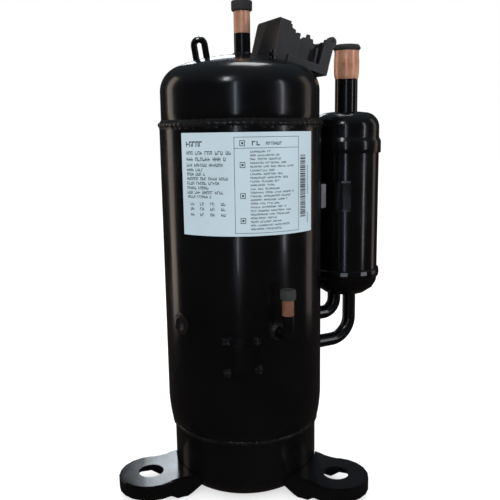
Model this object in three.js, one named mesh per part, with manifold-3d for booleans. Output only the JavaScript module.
// Hermetic twin-cylinder rotary refrigeration compressor with suction accumulator.
// Millimetres, +Z up. Origin: shell axis at floor level. Azimuths are measured about +Z
// from the front (-Y) towards +X.
import * as THREE from 'three';
import { mergeVertices } from 'three/addons/utils/BufferGeometryUtils.js';
import Module from 'manifold-3d';

const wasm = await Module();
wasm.setup();

// ---------------------------------------------------------------- driving dimensions
const GAP = 0.3; // clearance between touching pieces
const SHELL_R = 70, SHELL_WALL = 3, SHELL_Z0 = 56, SHELL_Z1 = 318;
const SKIRT_R = 65; // bottom cap
const CAP_R = 68.4, CAP_SHOULDER_Z = 346, CAP_KNUCKLE = 22;
const CROWN_R = 153.4, CROWN_Z = 376.5;
const FOOT_AZ = { left: -60, right: 60, rear: 180 };
const FOOT_R = 94, FOOT_LOBE = 28, FOOT_NECK = 23.5, FOOT_TOP = 18, FOOT_T = 3.2, FOOT_HOLE = 22;
const ACC_AZ = 120, ACC_DIST = 111.5, ACC_R = 31.2, BRACKET_Z0 = 239, BRACKET_Z1 = 267;
const PIPE_OD = 12.7, PIPE_ID = 10.3;
const PORTS = { upper: { z: 138, r: 99.5, bend: 13 }, lower: { z: 109, r: 117.5, bend: 21 } };
const DISCHARGE_OD = 14, DISCHARGE_ID = 12.7, DISCHARGE_X = 2.7;
const EYE_X = -32, EYE_HALF = 4.6, EYE_ROD = 2.8, EYE_TOP = 390.3, EYE_LEAN = -0.15;
const SUCTION_OD = 21, SUCTION_ID = 19;
const PROCESS_AZ = 27, PROCESS_Z = 151.5, PROCESS_OD = 9.5, PROCESS_R = 88;
const TERMINAL_CORNER = [31.5, -25, 371.5], TERMINAL_AZ = 120, TERMINAL_TILT = 14;
const FLAT_CENTRE = [42, 0], FLAT_R = 31, FLAT_DROP = 0.7, TERMINAL_U = 28, TERMINAL_V = 18.5;
const CYL_BORE = 27.1, ROLLER_R = 22, ECC = 4.8, SHAFT_R = 9.7, ECC_R = 14.5;
const VANE_AZ = 150, VANE_T = 4, VANE_LEN = 24;
const STATOR_TEETH = 12;

const RAD = Math.PI / 180;
const TAU = Math.PI * 2;

// ---------------------------------------------------------------- solid helpers
function toSolid(geometry) {
  const g = geometry.clone();
  g.deleteAttribute('normal');
  g.deleteAttribute('uv');
  const m = mergeVertices(g, 1e-4);
  const p = m.attributes.position.array;
  const tri = [];
  for (let i = 0; i < m.index.count; i += 3) {
    const [a, b, c] = [m.index.array[i], m.index.array[i + 1], m.index.array[i + 2]];
    if (a !== b && b !== c && a !== c) tri.push(a, b, c);
  }
  let volume = 0;
  for (let i = 0; i < tri.length; i += 3) {
    const [a, b, c] = [tri[i] * 3, tri[i + 1] * 3, tri[i + 2] * 3];
    volume += p[a] * (p[b + 1] * p[c + 2] - p[b + 2] * p[c + 1])
      + p[a + 1] * (p[b + 2] * p[c] - p[b] * p[c + 2])
      + p[a + 2] * (p[b] * p[c + 1] - p[b + 1] * p[c]);
  }
  if (volume < 0) for (let i = 0; i < tri.length; i += 3) [tri[i + 1], tri[i + 2]] = [tri[i + 2], tri[i + 1]];
  return new wasm.Manifold(new wasm.Mesh({
    numProp: 3, vertProperties: new Float32Array(p), triVerts: new Uint32Array(tri),
  }));
}

function toGeometry(solid) {
  const mesh = solid.getMesh();
  const g = new THREE.BufferGeometry();
  g.setAttribute('position', new THREE.BufferAttribute(new Float32Array(mesh.vertProperties), 3));
  g.setIndex(Array.from(mesh.triVerts));
  g.computeVertexNormals();
  return g;
}

// Profile of [radius, z] pairs turned about +Z; starts and ends on the axis or closes on itself.
function turned(profile, segments = 48, start = 0, sweep = TAU) {
  const g = new THREE.LatheGeometry(profile.map(([r, z]) => new THREE.Vector2(r, z)), segments, start, sweep);
  return toSolid(g.rotateX(Math.PI / 2));
}

function ring(rIn, rOut, z0, z1, segments = 48) {
  return turned([[rIn, z0], [rOut, z0], [rOut, z1], [rIn, z1], [rIn, z0]], segments);
}

function disc(r, z0, z1, segments = 32) {
  return turned([[0, z0], [r, z0], [r, z1], [0, z1]], segments);
}

function block(sx, sy, sz, x = 0, y = 0, z = 0) {
  return toSolid(new THREE.BoxGeometry(sx, sy, sz).translate(x, y, z));
}

function slab(shape, z0, z1, curveSegments = 8) {
  const g = new THREE.ExtrudeGeometry(shape, { depth: z1 - z0, bevelEnabled: false, curveSegments });
  return toSolid(g.translate(0, 0, z0));
}

function moved(solid, matrix) {
  return toSolid(toGeometry(solid).applyMatrix4(matrix));
}

const point = (x, y, z) => new THREE.Vector3(x, y, z);
const shifted = (x, y, z = 0) => new THREE.Matrix4().makeTranslation(x, y, z);

// Point at a radius and azimuth from the front.
const polar = (r, az, z = 0) => point(r * Math.sin(az * RAD), -r * Math.cos(az * RAD), z);

// Frame whose +X points outwards along an azimuth.
function outward(az, z = 0) {
  return new THREE.Matrix4().makeRotationZ((az - 90) * RAD).setPosition(0, 0, z);
}

// Cylinder from point a to point b.
function rod(a, b, r, segments = 24, r2 = r) {
  const d = new THREE.Vector3().subVectors(b, a);
  const g = new THREE.CylinderGeometry(r2, r, d.length(), segments);
  g.translate(0, d.length() / 2, 0);
  g.applyQuaternion(new THREE.Quaternion().setFromUnitVectors(new THREE.Vector3(0, 1, 0), d.normalize()));
  return toSolid(g.translate(a.x, a.y, a.z));
}

// Cylinder along +Z between two heights.
const post = (x, y, z0, z1, r, segments = 16) => rod(point(x, y, z0), point(x, y, z1), r, segments);

// Solid turned about +Z, laid to point outwards from the shell wall.
function onShell(solid, az, z, r) {
  const lay = new THREE.Matrix4().makeRotationY(Math.PI / 2).setPosition(r, 0, 0);
  return moved(moved(solid, lay), outward(az, z)).subtract(disc(SHELL_R + GAP, z - 30, z + 30, 72));
}

// Curve through fixed stations, so straight runs take one step and bends take several.
class Stations extends THREE.Curve {
  constructor(points, tangents) {
    super();
    this.points = points;
    this.tangents = tangents;
  }
  station(u) {
    return Math.round(u * (this.points.length - 1));
  }
  getPointAt(u) {
    return this.points[this.station(u)].clone();
  }
  getTangentAt(u) {
    return this.tangents[this.station(u)].clone();
  }
}

function bentPath(corners, radii, bendSteps) {
  const points = [corners[0].clone()];
  const tangents = [new THREE.Vector3().subVectors(corners[1], corners[0]).normalize()];
  for (let i = 1; i < corners.length - 1; i++) {
    const d1 = new THREE.Vector3().subVectors(corners[i], corners[i - 1]).normalize();
    const d2 = new THREE.Vector3().subVectors(corners[i + 1], corners[i]).normalize();
    const angle = d1.angleTo(d2);
    const r = radii[i - 1];
    const start = corners[i].clone().addScaledVector(d1, -r * Math.tan(angle / 2));
    const side = d2.clone().addScaledVector(d1, -d2.dot(d1)).normalize();
    for (let k = 0; k <= bendSteps; k++) {
      const t = (angle * k) / bendSteps;
      points.push(start.clone().addScaledVector(side, r * (1 - Math.cos(t)))
        .addScaledVector(d1, r * Math.sin(t)));
      tangents.push(d1.clone().multiplyScalar(Math.cos(t)).addScaledVector(side, Math.sin(t)));
    }
  }
  points.push(corners[corners.length - 1].clone());
  tangents.push(new THREE.Vector3().subVectors(corners.at(-1), corners.at(-2)).normalize());
  return new Stations(points, tangents);
}

function tube(corners, radii, rOut, rIn, segments = 20, bendSteps = 8) {
  const shape = new THREE.Shape().absarc(0, 0, rOut, 0, TAU, false);
  if (rIn > 0) shape.holes.push(new THREE.Path().absarc(0, 0, rIn, 0, TAU, true));
  const path = bentPath(corners, radii, bendSteps);
  return toSolid(new THREE.ExtrudeGeometry(shape, {
    extrudePath: path, steps: path.points.length - 1, bevelEnabled: false, curveSegments: segments,
  }));
}

function arcPoints(cx, cz, r, a0, a1, steps) {
  return Array.from({ length: steps + 1 }, (_, k) => {
    const a = (a0 + ((a1 - a0) * k) / steps) * RAD;
    return [cx + r * Math.cos(a), cz + r * Math.sin(a)];
  });
}

// Sector of a cylindrical wall between two azimuths.
function sector(rIn, rOut, z0, z1, az0, az1, steps = 12) {
  const shape = new THREE.Shape();
  for (let k = 0; k <= steps; k++) {
    const p = polar(rOut, az0 + ((az1 - az0) * k) / steps);
    if (k) shape.lineTo(p.x, p.y);
    else shape.moveTo(p.x, p.y);
  }
  for (let k = steps; k >= 0; k--) {
    const p = polar(rIn, az0 + ((az1 - az0) * k) / steps);
    shape.lineTo(p.x, p.y);
  }
  return slab(shape, z0, z1);
}

// ---------------------------------------------------------------- finishes
const finish = (color, roughness, metalness) => (
  new THREE.MeshStandardMaterial({ color, roughness, metalness }));
const BLACK_PAINT = finish(0x0b0b0c, 0.22, 0.0);
const COPPER = finish(0xb8683f, 0.3, 1.0);
const RUBBER = finish(0x1a1a1b, 0.75, 0.0);
const PLASTIC = finish(0x1f2022, 0.5, 0.0);
const LABEL = finish(0xd7e0e4, 0.5, 0.0);
const STEEL = finish(0x9a9c9f, 0.35, 1.0);
const CAST = finish(0x55585c, 0.6, 0.8);
const BRASS = finish(0xb89a55, 0.3, 1.0);
const LAMINATION = finish(0x5d6065, 0.5, 0.9);
const ENAMEL = finish(0x9c4a1f, 0.4, 0.6);
const SCREEN = finish(0xa9acb0, 0.45, 0.9);

const root = new THREE.Group();
root.name = 'refrigeration_rotary_compressor';
function add(name, solid, material) {
  const mesh = new THREE.Mesh(toGeometry(solid), material);
  mesh.name = name;
  root.add(mesh);
}

// ---------------------------------------------------------------- terminal frame
const tu = new THREE.Vector3(
  Math.sin(TERMINAL_AZ * RAD) * Math.cos(TERMINAL_TILT * RAD),
  -Math.cos(TERMINAL_AZ * RAD) * Math.cos(TERMINAL_TILT * RAD),
  -Math.sin(TERMINAL_TILT * RAD),
);
const tv = new THREE.Vector3(Math.cos(TERMINAL_AZ * RAD), Math.sin(TERMINAL_AZ * RAD), 0);
const tn = new THREE.Vector3().crossVectors(tu, tv).normalize();
const terminalFrame = new THREE.Matrix4().makeBasis(tu, tv, tn).setPosition(...TERMINAL_CORNER);

// ---------------------------------------------------------------- shell
const pipeHoles = Object.values(PORTS).map(({ z }) => (
  rod(polar(40, ACC_AZ, z), polar(80, ACC_AZ, z), PIPE_OD / 2 + GAP)));
const processHole = rod(
  polar(58, PROCESS_AZ, PROCESS_Z), polar(80, PROCESS_AZ, PROCESS_Z), PROCESS_OD / 2 + GAP, 20);

let shell = turned([
  [65.4, SHELL_Z0], [67.7, SHELL_Z0], [69, 65], [SHELL_R, 77], [SHELL_R, SHELL_Z1],
  [SHELL_R - SHELL_WALL, SHELL_Z1], [SHELL_R - SHELL_WALL, 80], [65.4, 74], [65.4, SHELL_Z0],
], 48);
for (const hole of [...pipeHoles, processHole]) shell = shell.subtract(hole);
add('shell_tube', shell, BLACK_PAINT);

const bottomCap = turned([
  [0, 0], [47, 0], ...arcPoints(47, 18, 18, -70, 0, 4), [SKIRT_R, 72], [62, 72],
  ...arcPoints(47, 18, 15, 0, -90, 2), [0, 3],
], 44);
add('bottom_cap', bottomCap, BLACK_PAINT);

// Domed top with a sunk flat for the terminals.
const crownTilt = Math.asin((CAP_R - CAP_KNUCKLE) / (CROWN_R - CAP_KNUCKLE)) / RAD;
function capProfile(wall, z0, skirt) {
  const r = CAP_R - wall;
  const step = skirt === r ? [] : [[skirt, SHELL_Z1 + 0.6], [r, SHELL_Z1 + 2.6]];
  const crown = arcPoints(0, CROWN_Z - CROWN_R, CROWN_R - wall, 90 - crownTilt, 90, 3);
  crown[crown.length - 1][0] = 0;
  const knuckle = arcPoints(CAP_R - CAP_KNUCKLE, CAP_SHOULDER_Z, CAP_KNUCKLE - wall, 0, 90 - crownTilt, 4);
  return [[0, z0], [skirt, z0], ...step, ...knuckle, ...crown.slice(1)];
}
function flatCutter(drop) {
  const centre = point(...FLAT_CENTRE, TERMINAL_CORNER[2]).applyMatrix4(terminalFrame.clone().invert());
  return toSolid(new THREE.CylinderGeometry(FLAT_R + 2.5, FLAT_R, 40, 32).rotateX(Math.PI / 2)
    .translate(centre.x, centre.y, 20 - drop).applyMatrix4(terminalFrame));
}
const dome = turned(capProfile(0, 302, 66.7), 44).subtract(flatCutter(FLAT_DROP));
const domeHollow = turned(capProfile(3, 290, CAP_R - 5), 28).subtract(flatCutter(FLAT_DROP + 3));
const atTerminals = (z) => point(TERMINAL_U, TERMINAL_V, z).applyMatrix4(terminalFrame);
const topCap = dome.subtract(domeHollow)
  .subtract(post(DISCHARGE_X, 0, 350, 390, DISCHARGE_OD / 2 + GAP, 24))
  .subtract(rod(atTerminals(-12), atTerminals(6), 14.3, 24));
add('top_cap', topCap, BLACK_PAINT);

add('upper_weld_bead', turned([[68.75, 322.6], [SHELL_R + 1.1, 321.6], [SHELL_R + 1.6, 317.5],
  [SHELL_R + 0.3, 314.9], [SHELL_R + 0.3, 318.3], [68.3, 318.4], [68.75, 322.6]], 48), BLACK_PAINT);
add('lower_weld_bead', turned([
  [65.3, 51.5], [67.3, 52.6], [67.5, 55.7], [65.3, 55.7], [65.3, 51.5]], 48), BLACK_PAINT);

// ---------------------------------------------------------------- feet
function footSolid() {
  const outline = (inset) => {
    const s = new THREE.Shape();
    const lobe = FOOT_LOBE - inset;
    s.moveTo(40, FOOT_NECK + 5 - inset);
    s.lineTo(66, FOOT_NECK + 3 - inset);
    s.quadraticCurveTo(74, FOOT_NECK - inset, 84, FOOT_NECK + 2 - inset);
    s.absarc(FOOT_R, 0, lobe, 108 * RAD, -108 * RAD, true);
    s.lineTo(84, -(FOOT_NECK + 2 - inset));
    s.quadraticCurveTo(74, -(FOOT_NECK - inset), 66, -(FOOT_NECK + 3 - inset));
    s.lineTo(40, -(FOOT_NECK + 5 - inset));
    s.closePath();
    return s;
  };
  const outer = slab(outline(0), 0, FOOT_TOP - 1.4, 6)
    .add(slab(outline(0.5), FOOT_TOP - 1.6, FOOT_TOP - 0.6, 6))
    .add(slab(outline(1.4), FOOT_TOP - 1.6, FOOT_TOP, 6));
  const inner = slab(outline(FOOT_T), -1, FOOT_TOP - FOOT_T, 5);
  // Skirt is deep beside the shell and shallow round the lobe.
  const under = new THREE.Shape();
  under.moveTo(76, -2);
  under.lineTo(86, 5);
  under.lineTo(130, 6.5);
  under.lineTo(130, -2);
  under.closePath();
  const slope = toSolid(new THREE.ExtrudeGeometry(under, { depth: 80, bevelEnabled: false })
    .rotateX(Math.PI / 2).translate(0, 40, 0));
  const heel = new THREE.Shape();
  heel.moveTo(30, -2);
  heel.lineTo(30, 12);
  heel.lineTo(56, 9);
  heel.lineTo(73, -2);
  heel.closePath();
  const rise = toSolid(new THREE.ExtrudeGeometry(heel, { depth: 80, bevelEnabled: false })
    .rotateX(Math.PI / 2).translate(0, 40, 0));
  return outer.subtract(inner).subtract(slope).subtract(rise)
    .subtract(post(FOOT_R, 0, 5, 25, FOOT_HOLE / 2, 28));
}
const capKeepOut = turned([
  [0, -1], [47, -1], ...arcPoints(47, 18, 18 + GAP + 0.3, -80, 0, 4), [SKIRT_R + GAP + 0.1, 40], [0, 40],
], 48);
for (const [side, az] of Object.entries(FOOT_AZ)) {
  const cutoff = disc(52, -5, 40, 48);
  add('foot_' + side, moved(footSolid(), outward(az)).subtract(capKeepOut).subtract(cutoff), BLACK_PAINT);
}

// ---------------------------------------------------------------- top fittings
const atDischarge = shifted(DISCHARGE_X, 0);
const addDischarge = (name, solid, material) => add(name, moved(solid, atDischarge), material);
addDischarge('discharge_sleeve', ring(DISCHARGE_OD / 2 - 1.2, DISCHARGE_OD / 2, 364, 394, 24), BLACK_PAINT);
addDischarge('discharge_socket', ring(DISCHARGE_ID / 2, DISCHARGE_OD / 2, 394.3, 412, 24), COPPER);
addDischarge('discharge_plug', turned([
  [0, 404], [5.4, 404], [DISCHARGE_ID / 2 - GAP, 406], [DISCHARGE_ID / 2 - GAP, 412.3],
  [7.6, 412.3], [8.8, 414], [9, 419.2], [8, 420.7], [0, 420.7]], 24), RUBBER);
const domeOffset = turned(capProfile(-GAP, 300, 70), 44);
const rootWeld = turned([[7.35, 375.4], [9.4, 375.4], [8.5, 377.6], [7.35, 378.6], [7.35, 375.4]], 20);
add('discharge_weld', moved(rootWeld, atDischarge).subtract(domeOffset), BLACK_PAINT);

// Lifting eye: a bent rod loop standing on the crown.
const eyeCorners = [[-EYE_HALF, 366], [-EYE_HALF, EYE_TOP], [EYE_HALF, EYE_TOP], [EYE_HALF, 366]]
  .map(([x, z]) => point(EYE_X + x + (z - 372) * EYE_LEAN, 0, z));
add('lifting_eye', tube(eyeCorners, [4.5, 4.5], EYE_ROD, 0, 6, 4).subtract(domeOffset), BLACK_PAINT);

// ---------------------------------------------------------------- terminals
const seat = -FLAT_DROP;
const pinSpots = [90, 210, 330].map((a) => [
  TERMINAL_U + 5.2 * Math.cos(a * RAD), TERMINAL_V + 5.2 * Math.sin(a * RAD)]);
let plate = moved(turned([
  [0, -7], [9.5, -7], [14, -3.4 + seat], [14, GAP + seat], [17, GAP + seat], [17, 1.9 + seat],
  [11.5, 1.9 + seat], [10.6, -2.4 + seat], [0, -2.4 + seat]], 20), shifted(TERMINAL_U, TERMINAL_V));
for (const [u, v] of pinSpots) plate = plate.subtract(post(u, v, -13, 7, 2.4));
add('terminal_plate', moved(plate, terminalFrame), STEEL);
pinSpots.forEach(([u, v], i) => {
  const pin = post(u, v, -12, 6, 1.6, 12).add(block(6.3, 0.9, 15, u, v, 12));
  add('terminal_pin_' + (i + 1), moved(pin, terminalFrame), BRASS);
});

// Plastic housing over the terminals, in the terminal frame (u outwards, v across, n up).
// alongU takes (v, n) outlines pushed along u; alongV takes (u, n) outlines pushed along v.
const outline = (pairs) => new THREE.Shape(pairs.map(([a, b]) => new THREE.Vector2(a, b)));
const alongU = (pairs, u0, u1) => toSolid(
  new THREE.ExtrudeGeometry(outline(pairs), { depth: u1 - u0, bevelEnabled: false })
    .applyMatrix4(new THREE.Matrix4().makeBasis(point(0, 1, 0), point(0, 0, 1), point(1, 0, 0)))
    .translate(u0, 0, 0));
const alongV = (pairs, v0, v1) => toSolid(
  new THREE.ExtrudeGeometry(outline(pairs), { depth: v1 - v0, bevelEnabled: false })
    .applyMatrix4(new THREE.Matrix4().makeBasis(point(1, 0, 0), point(0, 0, 1), point(0, -1, 0)))
    .translate(0, v1, 0));
const endBlock = alongU([[0, -1], [43, -1], [42, 31.4], [40, 33], [3, 33], [0.6, 32]], -2, 8);
const step = alongV([
  [7, -1], [17.5, -1], [17.5, 22.6], [13.6, 23.6], [13.2, 26.4], [9.6, 27.4], [9, 30], [7, 30]], 0, 41);
const tray = alongV([[14, -1], [51, -1], [52.4, 27.4], [48.6, 28.4], [34, 26.4], [15, 25]], 0, 41)
  .subtract(alongV([[18, 3], [48, 3], [48.6, 34], [18, 34]], 3, 38));
const frontOpening = alongV([[18.4, 5.6], [41.5, 5.6], [43.6, 34], [18.4, 34]], -1, 4);
const ear = post(0, 0, -2, 2, 4.2, 20).subtract(post(0, 0, -4, 4, 1.7, 12));
let housing = tray.subtract(frontOpening).add(step).add(endBlock)
  .add(alongV([[10, -1], [50, -1], [50.3, 5.4], [10, 5.4]], -2, 1))
  .add(alongV([
    [16, 4], [49, 4], [49, 26.4], [44.6, 26.8], [41, 23.4], [36.6, 23.4], [35.6, 26.4], [32.6, 26.4], [32.2, 29],
    [29.4, 29], [29, 26], [25.6, 25.4], [24.4, 23.4], [20.4, 23.8], [19.8, 26.6], [16, 26.6]], 8, 10))
  .add(block(1.8, 7, 17, 38.4, 6, 10.5))
  .add(block(5, 4, 9, 51.2, 6, 24))
  .add(moved(ear, new THREE.Matrix4().makeRotationX(Math.PI / 2).setPosition(52.6, 6, 29)))
  .subtract(post(TERMINAL_U, TERMINAL_V, -10, 6, 17.6, 24))
  .subtract(block(14.5, 34, 21, 7.6, 21.5, 9.5));
for (const u of [22.5, 31.5, 44]) housing = housing.subtract(block(5, 12, 7, u, 40, 28));
housing = moved(housing, terminalFrame).subtract(domeOffset.subtract(flatCutter(FLAT_DROP - GAP)));
add('terminal_housing', housing, PLASTIC);

const [studX, studY, studZ] = [29.4, -31.5, 373];
add('ground_stud', post(studX, studY, 368.3, 376.6, 2).subtract(domeOffset), BLACK_PAINT);
add('ground_nut', post(studX, studY, studZ - 1.2, studZ + 1.8, 3.9, 6)
  .subtract(post(studX, studY, 369, 380, 2 + GAP)).subtract(domeOffset), BLACK_PAINT);

// ---------------------------------------------------------------- accumulator
const acc = polar(ACC_DIST, ACC_AZ);
const atAcc = shifted(acc.x, acc.y);
const pipeShift = Object.values(PORTS).map(({ r }) => polar(r, ACC_AZ));
add('accumulator_body', moved(ring(ACC_R - 2, ACC_R, 178, 296, 32), atAcc), BLACK_PAINT);
add('accumulator_top', moved(turned([
  [ACC_R + GAP, 291.5], [33, 291.5], [32.9, 302.5], [ACC_R, 306], [ACC_R, 315],
  ...arcPoints(ACC_R - 14, 315, 14, 15, 78, 4), [10.8, 329.5], [10.8, 327.3],
  ...arcPoints(ACC_R - 14, 315, 11.6, 80, 10, 2), [ACC_R - 2.3, 299], [ACC_R + GAP, 297],
  [ACC_R + GAP, 291.5],
], 32), atAcc), BLACK_PAINT);
let accBottom = turned([
  [ACC_R + GAP, 182], [33, 181], [33.3, 177.5], [32.8, 174], [ACC_R + 0.2, 172.5], [30.6, 168],
  [27.5, 162.5], [20, 157.2], [0, 156.5], [0, 158.8], [19, 159.7], [25.6, 164.4], [28.9, 174],
  [ACC_R - 2.3, 177.6], [ACC_R + GAP, 177.6], [ACC_R + GAP, 182]], 32);
accBottom = moved(accBottom, atAcc);
for (const p of pipeShift) accBottom = accBottom.subtract(post(p.x, p.y, 140, 175, PIPE_OD / 2 + GAP, 20));
add('accumulator_bottom', accBottom, BLACK_PAINT);
const addInlet = (name, solid, material) => add(name, moved(solid, atAcc), material);
addInlet('suction_inlet_tube', ring(SUCTION_OD / 2 - 1.3, SUCTION_OD / 2, 318, 359, 24), BLACK_PAINT);
addInlet('suction_socket', turned([
  [SUCTION_ID / 2, 359.3], [SUCTION_OD / 2, 359.3], [SUCTION_OD / 2 + 0.8, 362], [SUCTION_OD / 2 + 1.2, 368],
  [SUCTION_OD / 2 + 1.2, 376], [SUCTION_OD / 2 + 0.7, 381.5], [SUCTION_OD / 2 + 1, 384.7],
  [10.5, 384.7], [10.4, 363], [SUCTION_ID / 2, 359.3]], 24), COPPER);
addInlet('suction_plug', turned([
  [0, 374], [9.4, 374], [10, 376], [10, 385], [11.6, 385], [12.6, 386.4], [12.9, 388.2],
  [12, 390], [0, 390.4]], 24), RUBBER);
addInlet('accumulator_screen', turned([
  [0, 305], [20, 303], [28.4, 303], [28.4, 304], [20, 304], [0, 306]], 24), SCREEN);

// Standpipes run down through the bottom, bend to the shell and end in the cylinders.
for (const [name, port] of Object.entries(PORTS)) {
  const top = name === 'upper' ? 282 : 268;
  const corners = [polar(port.r, ACC_AZ, top), polar(port.r, ACC_AZ, port.z), polar(42, ACC_AZ, port.z)];
  add('suction_pipe_' + name, tube(corners, [port.bend], PIPE_OD / 2, PIPE_ID / 2, 8, 5), BLACK_PAINT);
  const collar = turned([
    [PIPE_OD / 2 + GAP, 0], [11.5, 0], [10.6, 2.2], [8.4, 5], [PIPE_OD / 2 + GAP, 6],
    [PIPE_OD / 2 + GAP, 0]], 20);
  add('suction_collar_' + name, onShell(collar, ACC_AZ, port.z, SHELL_R - 1.2), BLACK_PAINT);
}

// Saddle that holds the accumulator to the shell.
const hug = (rIn, rOut, z0, z1, half) => (
  moved(sector(rIn, rOut, z0, z1, -90 - half, -90 + half, 10), shifted(ACC_DIST, 0)));
let saddle = hug(ACC_R + GAP, ACC_R + 2, BRACKET_Z0, BRACKET_Z1, 64)
  .add(hug(ACC_R + GAP, ACC_R + 4.2, BRACKET_Z0, BRACKET_Z0 + 1.8, 62))
  .add(hug(ACC_R + GAP, ACC_R + 4.2, BRACKET_Z1 - 1.8, BRACKET_Z1, 62))
  .add(sector(SHELL_R + GAP, SHELL_R + 2.2, BRACKET_Z0 + 2, BRACKET_Z1 - 2, 70, 110, 8));
for (const y of [-12, 12]) saddle = saddle.add(block(12, 2, 22, 76, y, (BRACKET_Z0 + BRACKET_Z1) / 2));
saddle = saddle.subtract(disc(SHELL_R + GAP, 230, 280, 72))
  .subtract(moved(disc(ACC_R + GAP, 230, 280, 48), shifted(ACC_DIST, 0)));
add('accumulator_bracket', moved(saddle, outward(ACC_AZ)), BLACK_PAINT);

// ---------------------------------------------------------------- shell fittings
add('process_elbow', tube([polar(66.9, PROCESS_AZ, PROCESS_Z), polar(PROCESS_R, PROCESS_AZ, PROCESS_Z),
  polar(PROCESS_R, PROCESS_AZ, 169)], [9.5], PROCESS_OD / 2, PROCESS_OD / 2 - 1.2, 7, 5), BLACK_PAINT);
const processAt = polar(PROCESS_R, PROCESS_AZ);
const addProcess = (name, solid, material) => (
  add(name, moved(solid, shifted(processAt.x, processAt.y)), material));
addProcess('process_socket', ring(3.7, PROCESS_OD / 2, 169.3, 182, 20), COPPER);
addProcess('process_plug', turned([
  [0, 174], [3, 174], [3.4, 175], [3.4, 182.3], [5.8, 182.3], [6.3, 183.5], [6.3, 189],
  [5.6, 190.2], [1.6, 190.2], [1, 189], [0, 189]], 20), RUBBER);
const processWeld = turned([
  [PROCESS_OD / 2 + GAP, 0], [8.6, 0], [7.4, 2.6], [PROCESS_OD / 2 + GAP, 4.4],
  [PROCESS_OD / 2 + GAP, 0]], 16);
add('process_collar', onShell(processWeld, PROCESS_AZ, PROCESS_Z, SHELL_R - 0.6), BLACK_PAINT);

const plugWeld = turned([
  [0, 0], [9.5, 0], [9.3, 1.4], [7.8, 2.5], [5.4, 2.9], [3.4, 2.2], [0, 1.9]], 24);
add('pump_plug_weld', onShell(plugWeld, -44.5, 154, SHELL_R - 0.4), BLACK_PAINT);

// Small hat-section clip with a weld nugget at each corner.
const wallStrip = (height, z0, z1, az0, az1, steps) => (
  sector(SHELL_R + GAP, SHELL_R + height, z0, z1, az0, az1, steps));
let clip = wallStrip(1.5, 118, 143, -7, 12, 8).subtract(block(11, 20, 40, 3, -SHELL_R, 118))
  .add(wallStrip(4.2, 108, 141, -3.2, -1.4, 2)).add(wallStrip(4.2, 118, 141, 6.6, 8.4, 2))
  .add(sector(SHELL_R + 2.8, SHELL_R + 4.2, 118, 141, -3.2, 8.4, 4))
  .add(wallStrip(1.5, 139, 146, -8, 13, 8)).add(wallStrip(1.5, 116.5, 121.5, -8, -1.5, 4))
  .add(wallStrip(1.5, 116.5, 121.5, 7, 13.5, 4));
for (const [az, z] of [[-7.6, 144.6], [12.2, 145], [-7, 118], [13.2, 120.4]]) {
  const at = polar(SHELL_R + 0.6, az, z);
  clip = clip.add(moved(toSolid(new THREE.SphereGeometry(3, 6, 4)), shifted(at.x, at.y, at.z)));
}
add('sensor_clip', clip.subtract(disc(SHELL_R + GAP, 100, 160, 72)), BLACK_PAINT);

add('rating_label', wallStrip(GAP + 0.25, 231.2, 312, -38.2, 57.6, 32), LABEL);

// ---------------------------------------------------------------- motor
const statorShape = new THREE.Shape().absarc(0, 0, SHELL_R - SHELL_WALL - GAP, 0, TAU, false);
const bore = new THREE.Path();
for (let i = 0; i < STATOR_TEETH; i++) {
  // Each tooth face runs 3-27 degrees of its pitch; the slot behind it is cut to r 55.
  for (const [r, da] of [[36, 3], [36, 27], [55, 26.2], [55, 33.8]]) {
    const p = polar(r, (i * 360) / STATOR_TEETH + da);
    if (i === 0 && r === 36 && da === 3) bore.moveTo(p.x, p.y);
    else bore.lineTo(p.x, p.y);
  }
}
bore.closePath();
statorShape.holes.push(bore);
add('stator_core', slab(statorShape, 187, 277, 18), LAMINATION);
const winding = (z0, z1) => turned([
  [38, z0], [58, z0], [60, (z0 + z1) / 2], [56, z1], [41, z1], [38, (z0 + z1) / 2], [38, z0]], 20);
const upsideDown = (z) => new THREE.Matrix4().makeScale(1, 1, -1).setPosition(0, 0, z);
add('stator_winding_top', winding(277.3, 303), ENAMEL);
add('stator_winding_bottom', moved(winding(277.3, 289), upsideDown(464)), ENAMEL);

const crankBore = 3.2;
const eccUp = polar(ECC, VANE_AZ - 90);
const eccLow = polar(ECC, VANE_AZ + 90);
const crank = disc(SHAFT_R, 40, 279, 24)
  .add(moved(disc(ECC_R, 129, 147, 28), shifted(eccUp.x, eccUp.y)))
  .add(moved(disc(ECC_R, 100, 118, 28), shifted(eccLow.x, eccLow.y)))
  .subtract(disc(crankBore, 30, 200, 16));
add('crankshaft', crank, STEEL);
add('rotor_core', ring(SHAFT_R + GAP, 35.2, 188, 276, 28), LAMINATION);
add('balance_weight_top', sector(14, 33, 276.3, 288, 150, 330, 12), BRASS);
add('balance_weight_bottom', sector(21, 33, 180, 187.7, -30, 150, 12), BRASS);
add('oil_pickup', ring(1.6, crankBore - GAP, 14, 60, 12), STEEL);

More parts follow.
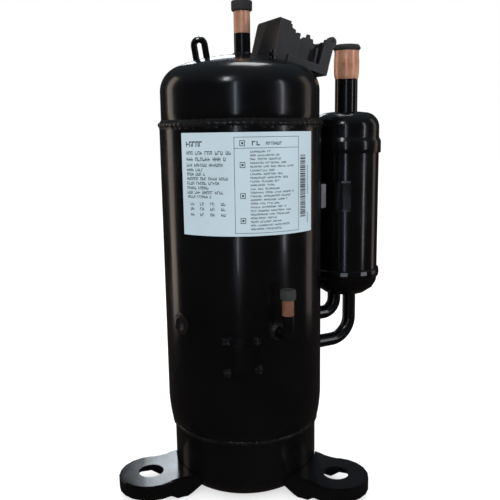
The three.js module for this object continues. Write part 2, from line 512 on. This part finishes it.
// ---------------------------------------------------------------- pump
const slot = (z0, z1) => moved(block(36, VANE_T + 0.6, z1 - z0, 38, 0, (z0 + z1) / 2), outward(VANE_AZ));
const portAt = polar(25.6, VANE_AZ + 22);
const portHole = (z0, z1) => post(portAt.x, portAt.y, z0, z1, 3, 12);
function cylinderBody(z0, suctionZ, dischargeZ) {
  return ring(CYL_BORE, 60, z0, z0 + 20, 32).subtract(slot(z0 - 1, z0 + 21))
    .subtract(rod(polar(20, ACC_AZ, suctionZ), polar(70, ACC_AZ, suctionZ), PIPE_OD / 2 + GAP, 20))
    .subtract(portHole(dischargeZ - 4, dischargeZ + 4));
}
add('upper_cylinder', cylinderBody(128, PORTS.upper.z, 148), CAST);
add('lower_cylinder', cylinderBody(99, PORTS.lower.z, 99), CAST);
add('middle_plate', ring(16, 60, 119.3, 127.7, 28), STEEL);
add('main_bearing', turned([
  [SHAFT_R + GAP, 148.3], [66.4, 148.3], [66.4, 159.7], [19, 159.7], [17, 178], [SHAFT_R + GAP, 178],
  [SHAFT_R + GAP, 148.3]], 28).subtract(portHole(146, 162)), CAST);
add('sub_bearing', turned([
  [SHAFT_R + GAP, 62], [17, 62], [19, 88], [56, 88], [56, 98.7], [SHAFT_R + GAP, 98.7],
  [SHAFT_R + GAP, 62]], 24).subtract(portHole(84, 100)), CAST);
for (const [name, centre, z0] of [['upper', eccUp, 128.3], ['lower', eccLow, 99.3]]) {
  const roller = ring(ECC_R + GAP, ROLLER_R, z0, z0 + 19.4, 28);
  add(name + '_roller', moved(roller, shifted(centre.x, centre.y)), STEEL);
  const vane = block(VANE_LEN, VANE_T, 19.4, CYL_BORE + VANE_LEN / 2, 0, z0 + 9.7);
  add(name + '_vane', moved(vane, outward(VANE_AZ)), STEEL);
}

// Discharge reeds lie over the ports and are held at the far end.
function reed(z0, z1) {
  const hinge = polar(40, VANE_AZ + 58);
  const d = new THREE.Vector3().subVectors(portAt, hinge).setZ(0);
  const len = d.length();
  const strip = block(len, 7, z1 - z0, len / 2, 0, (z0 + z1) / 2)
    .add(moved(disc(5, z0, z1, 16), shifted(len, 0))).add(disc(4.4, z0, z1, 16));
  return moved(strip, new THREE.Matrix4().makeRotationZ(Math.atan2(d.y, d.x)).setPosition(hinge));
}
add('upper_reed', reed(160, 160.6), SCREEN);
add('lower_reed', reed(87.1, 87.7), SCREEN);
// Muffler cups over both discharge ports.
const cup = turned([
  [20.5, 12], [48, 12], [48, 0.3], [54, 0.3], [54, 1.9], [49.6, 1.9],
  [49.6, 12], [48, 13.6], [20.5, 13.6], [20.5, 12]], 18);
add('upper_muffler', moved(cup, shifted(0, 0, 159.7)), STEEL);
add('lower_muffler', moved(cup, upsideDown(88)), STEEL);

export default root;
